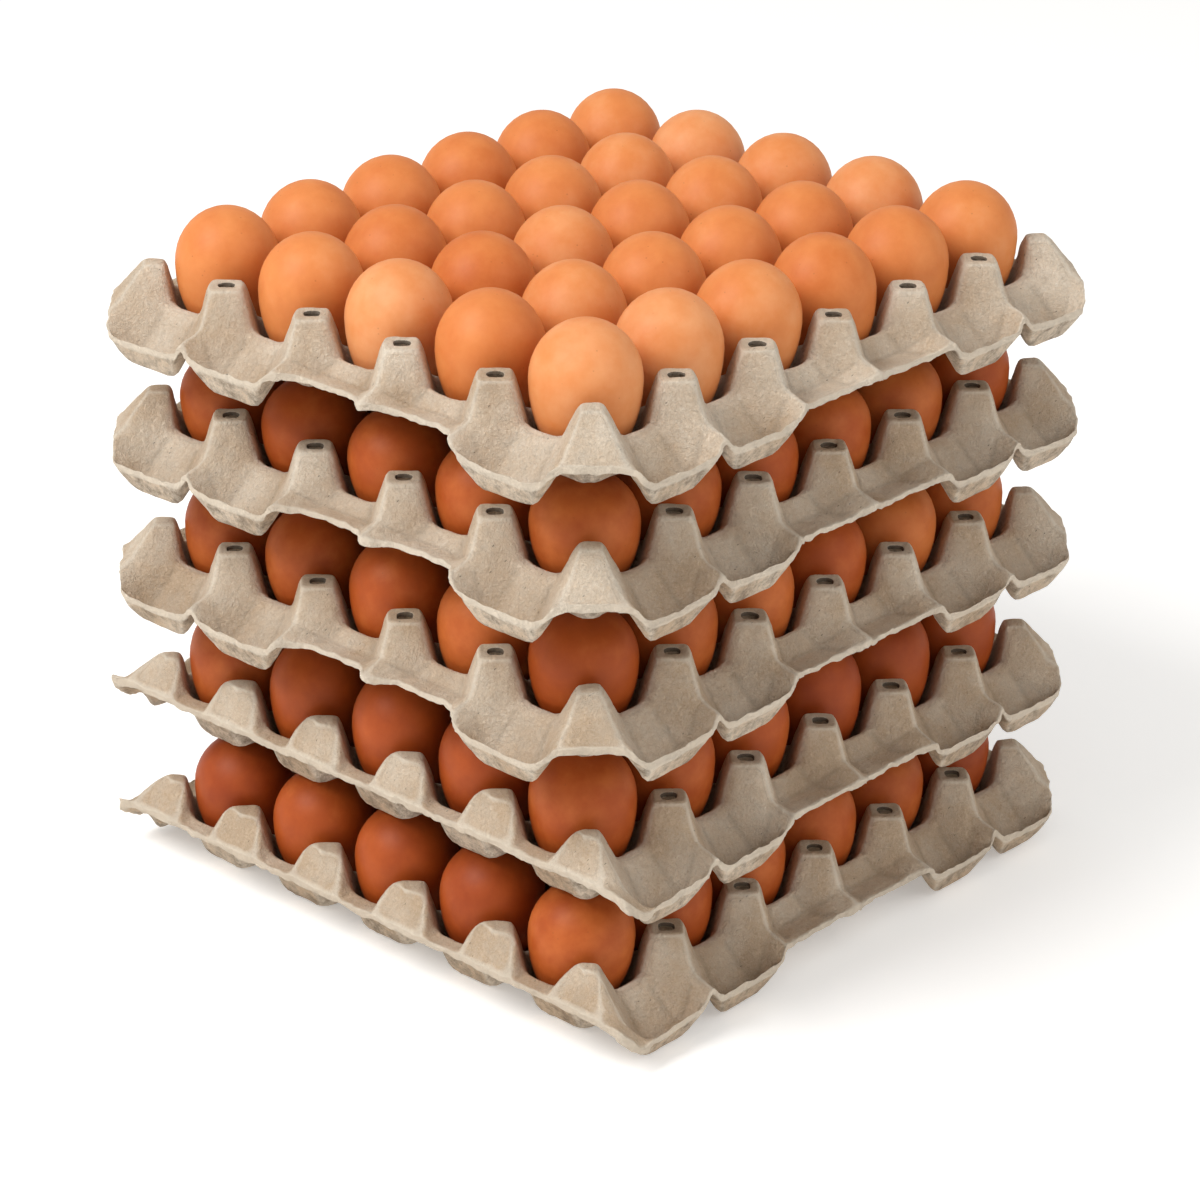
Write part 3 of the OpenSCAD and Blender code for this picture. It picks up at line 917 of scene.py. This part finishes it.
    def mesh(self) -> "Cage":
        """Joins both faces, the rim and the walls of the holes to one closed cage.

        Returns:
            The cage with its marks.
        """
        keys = sorted({key for face, _ in self.faces for key in face}, key=str)
        number = {key: k for k, key in enumerate(keys)}
        count = len(keys)
        points = np.array([self.place(key, s) for s in (0, 1) for key in keys])
        rim = {key for edge in self.rim for key in edge}
        marks = {"lip": np.array([float(key in rim) for key in keys] * 2),
                 "tear": np.array([float(key[0] == "ring") for key in keys] * 2),
                 "under": np.repeat([0.0, 1.0], count)}
        polys, levels = [], []
        for face, level in self.faces:
            upper = [number[key] for key in face]
            polys += [upper, [k + count for k in upper[::-1]]]
            levels += [level, level]
        walls = [(number[b], number[a], Detail.LIP) for a, b in self.rim]
        for i, j in self.holes:
            ring = [number["ring", i, j, k] for k in range(self.RING)]
            walls += [(a, b, Detail.HOLE) for a, b in zip(ring, ring[1:] + ring[:1])]
        for a, b, level in walls:
            polys.append([a, b, b + count, a + count])
            levels.append(level)
        return Cage(points, polys, levels, marks)


@dataclass
class Cage:
    """A closed control mesh with marks on its points."""

    points: np.ndarray
    polys: list[list[int]]
    levels: list[Detail]
    marks: dict[str, np.ndarray]
    NEAR: ClassVar[float] = 0.001

    def refined(self, least: Detail) -> "Cage":
        """Splits the finer faces at their edges' middles and their own middle.

        Args:
            least: Lowest level of detail of the faces that are split.

        Returns:
            A cage in which a coarse face takes up the new points on the edges it shares.
        """
        sources: list[list[int]] = []
        middle: dict[tuple[int, int], int] = {}
        start = len(self.points)

        def between(a: int, b: int) -> int:
            """Gives the point in the middle of an edge, a new one where there is none yet.

            Args:
                a: Point at one end.
                b: Point at the other end.

            Returns:
                Number of the point.
            """
            edge = (min(a, b), max(a, b))
            if edge not in middle:
                middle[edge] = start + len(sources)
                sources.append(list(edge))
            return middle[edge]

        polys, levels = [], []
        for poly, level in zip(self.polys, self.levels):
            if level < least:
                continue
            mids = [between(a, b) for a, b in zip(poly, poly[1:] + poly[:1])]
            centre = start + len(sources)
            sources.append(poly)
            polys += [[poly[k], mids[k], centre, mids[k - 1]] for k in range(len(poly))]
            levels += [level] * len(poly)
        for poly, level in zip(self.polys, self.levels):
            if level >= least:
                continue
            loop: list[int] = []
            for a, b in zip(poly, poly[1:] + poly[:1]):
                loop.append(a)
                if (min(a, b), max(a, b)) in middle:
                    loop.append(middle[min(a, b), max(a, b)])
            polys.append(loop)
            levels.append(level)
        points = np.vstack([self.points, [self.points[group].mean(axis=0) for group in sources]])
        marks = {name: np.concatenate([values, [values[group].mean() for group in sources]])
                 for name, values in self.marks.items()}
        return Cage(points, polys, levels, marks)

    def eased(self, rounds: int) -> "Cage":
        """Rounds the corners of the lip where it runs from ridge to trough and round the ends.

        Args:
            rounds: Number of times each point of the lip moves half way to its neighbours.

        Returns:
            A cage with the same faces, in which each line along the lip is smoother.
        """
        lip, under = self.marks["lip"], self.marks["under"]
        edges = {(min(a, b), max(a, b)) for poly in self.polys for a, b in zip(poly, poly[1:] + poly[:1])}
        runs = np.array([(a, b) for a, b in sorted(edges)
                         if min(lip[a], lip[b]) > 1 - self.NEAR and abs(under[a] - under[b]) < self.NEAR])
        ends = np.concatenate([runs, runs[:, ::-1]])
        count = np.bincount(ends[:, 0], minlength=len(lip))[:, None]
        points = self.points.copy()
        for _ in range(rounds):
            total = np.zeros_like(points)
            np.add.at(total, ends[:, 0], points[ends[:, 1]])
            points = np.where(count > 0, (points + total / np.maximum(count, 1)) / 2, points)
        return Cage(points, self.polys, self.levels, self.marks)


@dataclass
class PulpTray(StackPiece):
    """One moulded pulp tray of the stack."""

    number: int
    foot_z: float
    straight: bool
    stock: float
    sizes: TraySizes
    warp_mm: float = 1.3
    warp_size_mm: float = 60.0
    lump_mm: float = 1.5
    lump_size_mm: float = 8.0
    ragged_mm: float = 3.6
    ragged_size_mm: float = 6.0
    crease: float = 0.3
    lip_rounds: int = 6
    ridge_rounds: int = 4
    fine_edge_mm: float = 2.4
    coarse_edge_mm: float = 4.4

    def build(self, relief: bpy.types.NodeTree, pulp: bpy.types.Material) -> None:
        """Builds the tray's mesh and puts it in place of its solid.

        Args:
            relief: Tree that subdivides and softens the sheet.
            pulp: Material of the sheet.
        """
        seed = SEED + self.number
        cage = SheetCage(self.sizes, self.straight, random.Random(seed)).mesh()
        for least in (Detail.PLAIN, Detail.FINE, Detail.LIP):
            cage = cage.refined(least)
        cage = cage.eased(self.lip_rounds)
        cage.points[:, 2] += self.foot_z
        cage.marks["stock"] = np.full(len(cage.points), self.stock)
        piece = new_piece(f"pulp_tray_{self.number}", cage.points, cage.polys)
        for name, values in cage.marks.items():
            mark(piece, name, values)
        grow(piece, relief, {
            "Warp": self.warp_mm * MM, "Warp Size": per_mm(self.warp_size_mm),
            "Lump": self.lump_mm * MM, "Lump Size": per_mm(self.lump_size_mm),
            "Ragged": self.ragged_mm * MM, "Ragged Size": per_mm(self.ragged_size_mm),
            "Crease": self.crease, "Rounds": self.ridge_rounds, "Fine Edge": self.fine_edge_mm * MM,
            "Coarse Edge": self.coarse_edge_mm * MM, "Seed": float(seed), "Pulp": pulp,
        })
        self.dress(piece, f"tray_{self.number}", "moulded_pulp")

    @staticmethod
    def relief() -> bpy.types.NodeTree:
        """Builds the tree that turns a cage to a soft, warped and lumpy sheet.

        Returns:
            The tree with named inputs.
        """
        tree, given = open_tree("pulp_relief", {
            "Warp": "Float", "Warp Size": "Float", "Lump": "Float", "Lump Size": "Float", "Ragged": "Float",
            "Ragged Size": "Float", "Crease": "Float", "Rounds": "Int", "Fine Edge": "Float",
            "Coarse Edge": "Float", "Seed": "Float", "Pulp": "Material"})
        lip, tear, under, crest = (
            add(tree, "GeometryNodeInputNamedAttribute", {"Name": name}, data_type="FLOAT")
            for name in ("lip", "tear", "under", "fold"))
        # Folds are marked for the material: ridges above nought, valleys below it
        bent = add(tree, "GeometryNodeInputMeshEdgeAngle").outputs["Signed Angle"]
        fold = add(tree, "ShaderNodeMapRange", {
            "Value": bent, "From Min": -0.24, "From Max": 0.24, "To Min": -1.0, "To Max": 1.0})
        marked = add(tree, "GeometryNodeStoreNamedAttribute", {
            "Geometry": given["Geometry"], "Name": "fold", "Value": fold}, data_type="FLOAT", domain="POINT")
        # On both faces of the sheet, post edges and saddles keep more of their crease than valleys
        face = add(tree, "ShaderNodeMath", {0: under, 1: -2.0, 2: 1.0}, operation="MULTIPLY_ADD")
        upward = add(tree, "ShaderNodeMath", {0: bent, 1: face}, operation="MULTIPLY")
        ridge = add(tree, "ShaderNodeMapRange", {
            "Value": upward, "From Min": 0.2, "From Max": 0.7, "To Min": 0.0, "To Max": 1.0})
        valley = add(tree, "ShaderNodeMapRange", {
            "Value": upward, "From Min": -0.3, "From Max": -0.9, "To Min": 0.0, "To Max": 0.4})
        # Torn holes and the upright edges of the lip stay round
        whole = add(tree, "ShaderNodeMath", {0: 1.0, 1: tear}, operation="SUBTRACT")
        within = add(tree, "ShaderNodeMath", {0: face}, operation="ABSOLUTE")
        skin = add(tree, "ShaderNodeMath", {0: within, 1: 0.9}, operation="GREATER_THAN")
        crease = add(tree, "ShaderNodeMath", {0: ridge, 1: valley}, operation="ADD")
        for share in (whole, skin, given["Crease"]):
            crease = add(tree, "ShaderNodeMath", {0: crease, 1: share}, operation="MULTIPLY")
        smooth = add(tree, "GeometryNodeSubdivisionSurface", {
            "Mesh": marked, "Level": 1, "Edge Crease": crease})
        # Post tops and ridges come off the mould rounded, but not the thin lip. Coarse faces keep
        # their place, so that the sheet stays whole
        spot = add(tree, "GeometryNodeInputPosition")
        inner = add(tree, "ShaderNodeMath", {0: 1.0, 1: lip}, operation="SUBTRACT")
        top = add(tree, "ShaderNodeMath", {0: 1.0, 1: under}, operation="SUBTRACT")
        ends = add(tree, "GeometryNodeInputMeshEdgeVertices").outputs
        length = add(tree, "ShaderNodeVectorMath", {
            0: ends["Position 1"], 1: ends["Position 2"]}, operation="DISTANCE")
        fine = add(tree, "ShaderNodeMapRange", {
            "Value": length, "From Min": given["Fine Edge"], "From Max": given["Coarse Edge"],
            "To Min": 1.0, "To Max": 0.0})
        weight = add(tree, "ShaderNodeMath", {0: crest, 1: inner}, operation="MULTIPLY", use_clamp=True)
        for share in (whole, top, fine):
            weight = add(tree, "ShaderNodeMath", {0: weight, 1: share}, operation="MULTIPLY")
        blurred = add(tree, "GeometryNodeBlurAttribute", {
            "Value": spot, "Iterations": given["Rounds"], "Weight": weight}, data_type="FLOAT_VECTOR")
        rounded = add(tree, "GeometryNodeSetPosition", {"Geometry": smooth, "Position": blurred})
        # Both faces read nearly the same noise, so the sheet bends and keeps its thickness
        bend, tatter, lumps = (
            add(tree, "ShaderNodeTexNoise", {
                "Vector": spot, "W": given["Seed"], "Scale": given[label + " Size"], "Detail": detail,
            }, noise_dimensions="4D") for label, detail in (("Warp", 2.0), ("Ragged", 4.0), ("Lump", 3.0)))
        # Lips are trimmed roughly and fray, the sheet within them only bends
        close = add(tree, "ShaderNodeMath", {0: lip, 1: 3.0}, operation="POWER")
        fray = add(tree, "ShaderNodeMath", {0: close, 1: given["Ragged"]}, operation="MULTIPLY")
        moved = rounded
        for noise, amount in ((bend, given["Warp"]), (tatter, fray)):
            level = add(tree, "ShaderNodeVectorMath", {
                0: noise.outputs["Color"], 1: (0.5, 0.5, 0.5)}, operation="SUBTRACT")
            shift = add(tree, "ShaderNodeVectorMath", {0: level, "Scale": amount}, operation="SCALE")
            moved = add(tree, "GeometryNodeSetPosition", {"Geometry": moved, "Offset": shift})
        # Small lumps of stock stand out along the surface
        height = add(tree, "ShaderNodeMath", {0: lumps, 1: 0.5}, operation="SUBTRACT")
        rise = add(tree, "ShaderNodeMath", {0: height, 1: given["Lump"]}, operation="MULTIPLY")
        swell = add(tree, "ShaderNodeVectorMath", {
            0: add(tree, "GeometryNodeInputNormal"), "Scale": rise}, operation="SCALE")
        lumpy = add(tree, "GeometryNodeSetPosition", {"Geometry": moved, "Offset": swell})
        close_tree(tree, add(tree, "GeometryNodeSetShadeSmooth", {"Geometry": lumpy}), given["Pulp"])
        return tree


@dataclass
class EggRow(StackPiece):
    """One row of six eggs in a tray, with their widest circles a little higher than in the solids."""

    layer: int
    row: int
    seat_z: float
    length: float
    tone: float
    sizes: TraySizes
    width: float = 44.8
    low_share: float = 0.54
    blunter: float = 3.6
    tilt: float = 0.035
    full_turn: float = 6.28
    tone_spread: float = 0.085
    least_size: float = 0.982
    segments: int = 36
    rings: int = 20

    def build(self, clutch: bpy.types.NodeTree, shell: bpy.types.Material) -> None:
        """Sets out the row and puts it in place of its solids.

        Args:
            clutch: Tree that puts an egg on every point.
            shell: Material of the eggs.
        """
        z = self.sizes
        chance = random.Random(1000 * SEED + 10 * self.layer + self.row)
        spots = [((a + 0.5 - z.cells_u / 2) * z.pitch_u, (self.row - 0.5 - z.cells_v / 2) * z.pitch_v,
                  self.seat_z + self.blunter) for a in range(z.cells_u)]
        turns = [(chance.gauss(0, self.tilt), chance.gauss(0, self.tilt), chance.uniform(0, self.full_turn))
                 for _ in spots]
        tones = [min(1.0, max(0.0, chance.gauss(self.tone, self.tone_spread))) for _ in spots]
        sizes = [chance.uniform(self.least_size, 1.0) for _ in spots]
        piece = new_piece(f"eggs_{self.layer}_{self.row}", np.array(spots), [])
        for name, values in (("turn", turns), ("tone", tones), ("size", sizes)):
            mark(piece, name, np.array(values))
        grow(piece, clutch, {
            "Radius": self.width / 2 * MM, "Low": (self.length * self.low_share + self.blunter) * MM,
            "High": (self.length * (1 - self.low_share) - self.blunter) * MM,
            "Segments": self.segments, "Rings": self.rings, "Shell": shell})
        self.dress(piece, f"egg_row_{self.layer}_{self.row}", "eggshell")

    @staticmethod
    def clutch() -> bpy.types.NodeTree:
        """Builds the tree that puts an egg, blunt end up, on every point.

        Returns:
            The tree with named inputs.
        """
        tree, given = open_tree("egg_clutch", {
            "Radius": "Float", "Low": "Float", "High": "Float", "Segments": "Int", "Rings": "Int",
            "Shell": "Material"})
        ball = add(tree, "GeometryNodeMeshUVSphere", {
            "Segments": given["Segments"], "Rings": given["Rings"], "Radius": 1.0})
        spot = add(tree, "ShaderNodeSeparateXYZ", {"Vector": add(tree, "GeometryNodeInputPosition")}).outputs
        # A ball is drawn out to one length above its widest circle and to another below it
        above = add(tree, "ShaderNodeMath", {0: spot["Z"], 1: 0.0}, operation="MAXIMUM")
        below = add(tree, "ShaderNodeMath", {0: spot["Z"], 1: 0.0}, operation="MINIMUM")
        blunt = add(tree, "ShaderNodeMath", {0: above, 1: given["High"]}, operation="MULTIPLY")
        height = add(tree, "ShaderNodeMath", {0: below, 1: given["Low"], 2: blunt}, operation="MULTIPLY_ADD")
        across = {axis: add(tree, "ShaderNodeMath", {0: spot[axis], 1: given["Radius"]}, operation="MULTIPLY")
                  for axis in "XY"}
        form = add(tree, "ShaderNodeCombineXYZ", {**across, "Z": height})
        egg = add(tree, "GeometryNodeSetPosition", {"Geometry": ball, "Position": form})
        shaded = add(tree, "GeometryNodeSetShadeSmooth", {"Geometry": egg})
        turn = add(tree, "GeometryNodeInputNamedAttribute", {"Name": "turn"}, data_type="FLOAT_VECTOR")
        size = add(tree, "GeometryNodeInputNamedAttribute", {"Name": "size"}, data_type="FLOAT")
        laid = add(tree, "GeometryNodeInstanceOnPoints", {
            "Points": given["Geometry"], "Instance": shaded, "Rotation": turn, "Scale": size})
        close_tree(tree, laid, given["Shell"])
        return tree


@dataclass(frozen=True)
class Lamp:
    """One square soft light that looks at the middle of the stack, in metres and watts."""

    name: str
    spot: tuple[float, float, float]
    size: float
    power: float
    aim: tuple[float, float, float] = (0.0, 0.0, 0.15)

    def hang(self) -> None:
        """Hangs the light."""
        data = bpy.data.lights.new(self.name, "AREA")
        data.size = self.size
        data.energy = self.power
        lamp = bpy.data.objects.new(self.name, data)
        look = Vector(self.aim) - Vector(self.spot)
        lamp.matrix_world = Matrix.Translation(self.spot) @ look.to_track_quat("-Z", "Y").to_matrix().to_4x4()
        bpy.context.scene.collection.objects.link(lamp)


@dataclass
class Studio:
    """Camera, soft lights and a white paper floor."""

    eye_mm: tuple[float, float, float] = (-1119.1, -1011.1, 783.9)
    yaw: float = 42.06
    pitch: float = 23.85
    roll: float = 0.55
    focal_px: float = 3750.5
    image_px: float = 1200.0
    film_mm: float = 36.0
    far_m: float = 100.0
    floor_mm: float = 12000.0
    sky: str = "#FFFFFF"
    sky_strength: float = 0.55
    lamps: tuple[Lamp, ...] = (Lamp("key", (-1.5, 0.5, 1.9), 1.1, 42.0),
                               Lamp("fill", (0.2, -1.9, 1.4), 1.6, 10.5))

    def camera(self) -> None:
        """Puts the camera at the photograph's angle."""
        yaw, pitch, roll = (math.radians(a) for a in (self.yaw, self.pitch, self.roll))
        ahead = Vector((math.cos(yaw) * math.cos(pitch), math.sin(yaw) * math.cos(pitch), -math.sin(pitch)))
        right = Vector((math.sin(yaw), -math.cos(yaw), 0))
        down = ahead.cross(right)
        across = right * math.cos(roll) - down * math.sin(roll)
        upward = -(right * math.sin(roll) + down * math.cos(roll))
        data = bpy.data.cameras.new("camera")
        data.sensor_width = self.film_mm
        data.lens = self.focal_px / self.image_px * self.film_mm
        data.clip_end = self.far_m
        eye = bpy.data.objects.new("camera", data)
        turn = Matrix((across, upward, -ahead)).transposed().to_4x4()
        eye.matrix_world = Matrix.Translation(Vector(self.eye_mm) * MM) @ turn
        bpy.context.scene.collection.objects.link(eye)
        bpy.context.scene.camera = eye

    def build(self) -> None:
        """Builds the whole studio."""
        self.camera()
        for lamp in self.lamps:
            lamp.hang()
        world = bpy.data.worlds.new("studio")
        world.use_nodes = True
        sky = world.node_tree.nodes["Background"].inputs
        sky["Color"].default_value = linear(self.sky)
        sky["Strength"].default_value = self.sky_strength
        bpy.context.scene.world = world
        bpy.context.scene.view_settings.view_transform = "Standard"
        corners = [(-1, -1, 0), (1, -1, 0), (1, 1, 0), (-1, 1, 0)]
        floor = new_piece("floor", np.array(corners) * self.floor_mm / 2, [[0, 1, 2, 3]])
        floor.data.materials.append(PaperSweep().make())


@dataclass
class Stack:
    """The whole stack: trays and eggs from the bottom up."""

    straight_trays: int = 2
    lengths: tuple[float, ...] = (57.5, 61.5, 57.5, 53.0, 60.0)
    # How much darker each tray is, from the bottom up: darker towards the bottom of the stack
    tray_darkening: tuple[float, ...] = (0.1, 0.08, 0.04, 0.02, 0.0)
    # Mean tone of the eggs in each layer, from the bottom up: the lower layers are set deeper as painted shade under
    # the trays above them
    tones: tuple[float, ...] = (0.8, 0.74, 0.66, 0.66, 0.27)
    gap: float = 0.15
    sizes: TraySizes = field(default_factory=TraySizes)

    def seat(self, length: float) -> float:
        """Height of the widest circle of a solid egg above its tray's foot.

        Args:
            length: Length of the egg.

        Returns:
            The lowest height that clears the floor, the walls and the posts' faces.
        """
        z = self.sizes
        low, radius = length * EggRow.low_share, EggRow.width / 2
        half = (z.pitch_u / 2 - z.floor_inset, z.pitch_v / 2 - z.floor_inset)
        slopes = ((z.wall_fall, min(half)), (z.post_fall * math.sqrt(2), sum(half) / math.sqrt(2)))
        on = [z.sheet - fall * out + math.hypot(radius * fall, low) for fall, out in slopes]
        return self.gap + max(z.sheet + low, *on)

    def build(self) -> None:
        """Builds every piece from the bottom up."""
        pulp, shell = MouldedPulp().make(), Eggshell().make()
        relief, clutch = PulpTray.relief(), EggRow.clutch()
        foot = 0.0
        for layer, (length, stock, tone) in enumerate(zip(self.lengths, self.tray_darkening, self.tones), 1):
            seat = foot + self.seat(length)
            PulpTray(layer, foot, layer <= self.straight_trays, stock, self.sizes).build(relief, pulp)
            for row in range(1, self.sizes.cells_v + 1):
                EggRow(layer, row, seat, length, tone, self.sizes).build(clutch, shell)
            foot = seat + length * (1 - EggRow.low_share) + self.gap


def main() -> None:
    """Builds the stack and its studio."""
    logging.basicConfig(level=logging.INFO, format="%(name)s %(message)s")
    Stack().build()
    Studio().build()


if __name__ == "__main__":
    main()
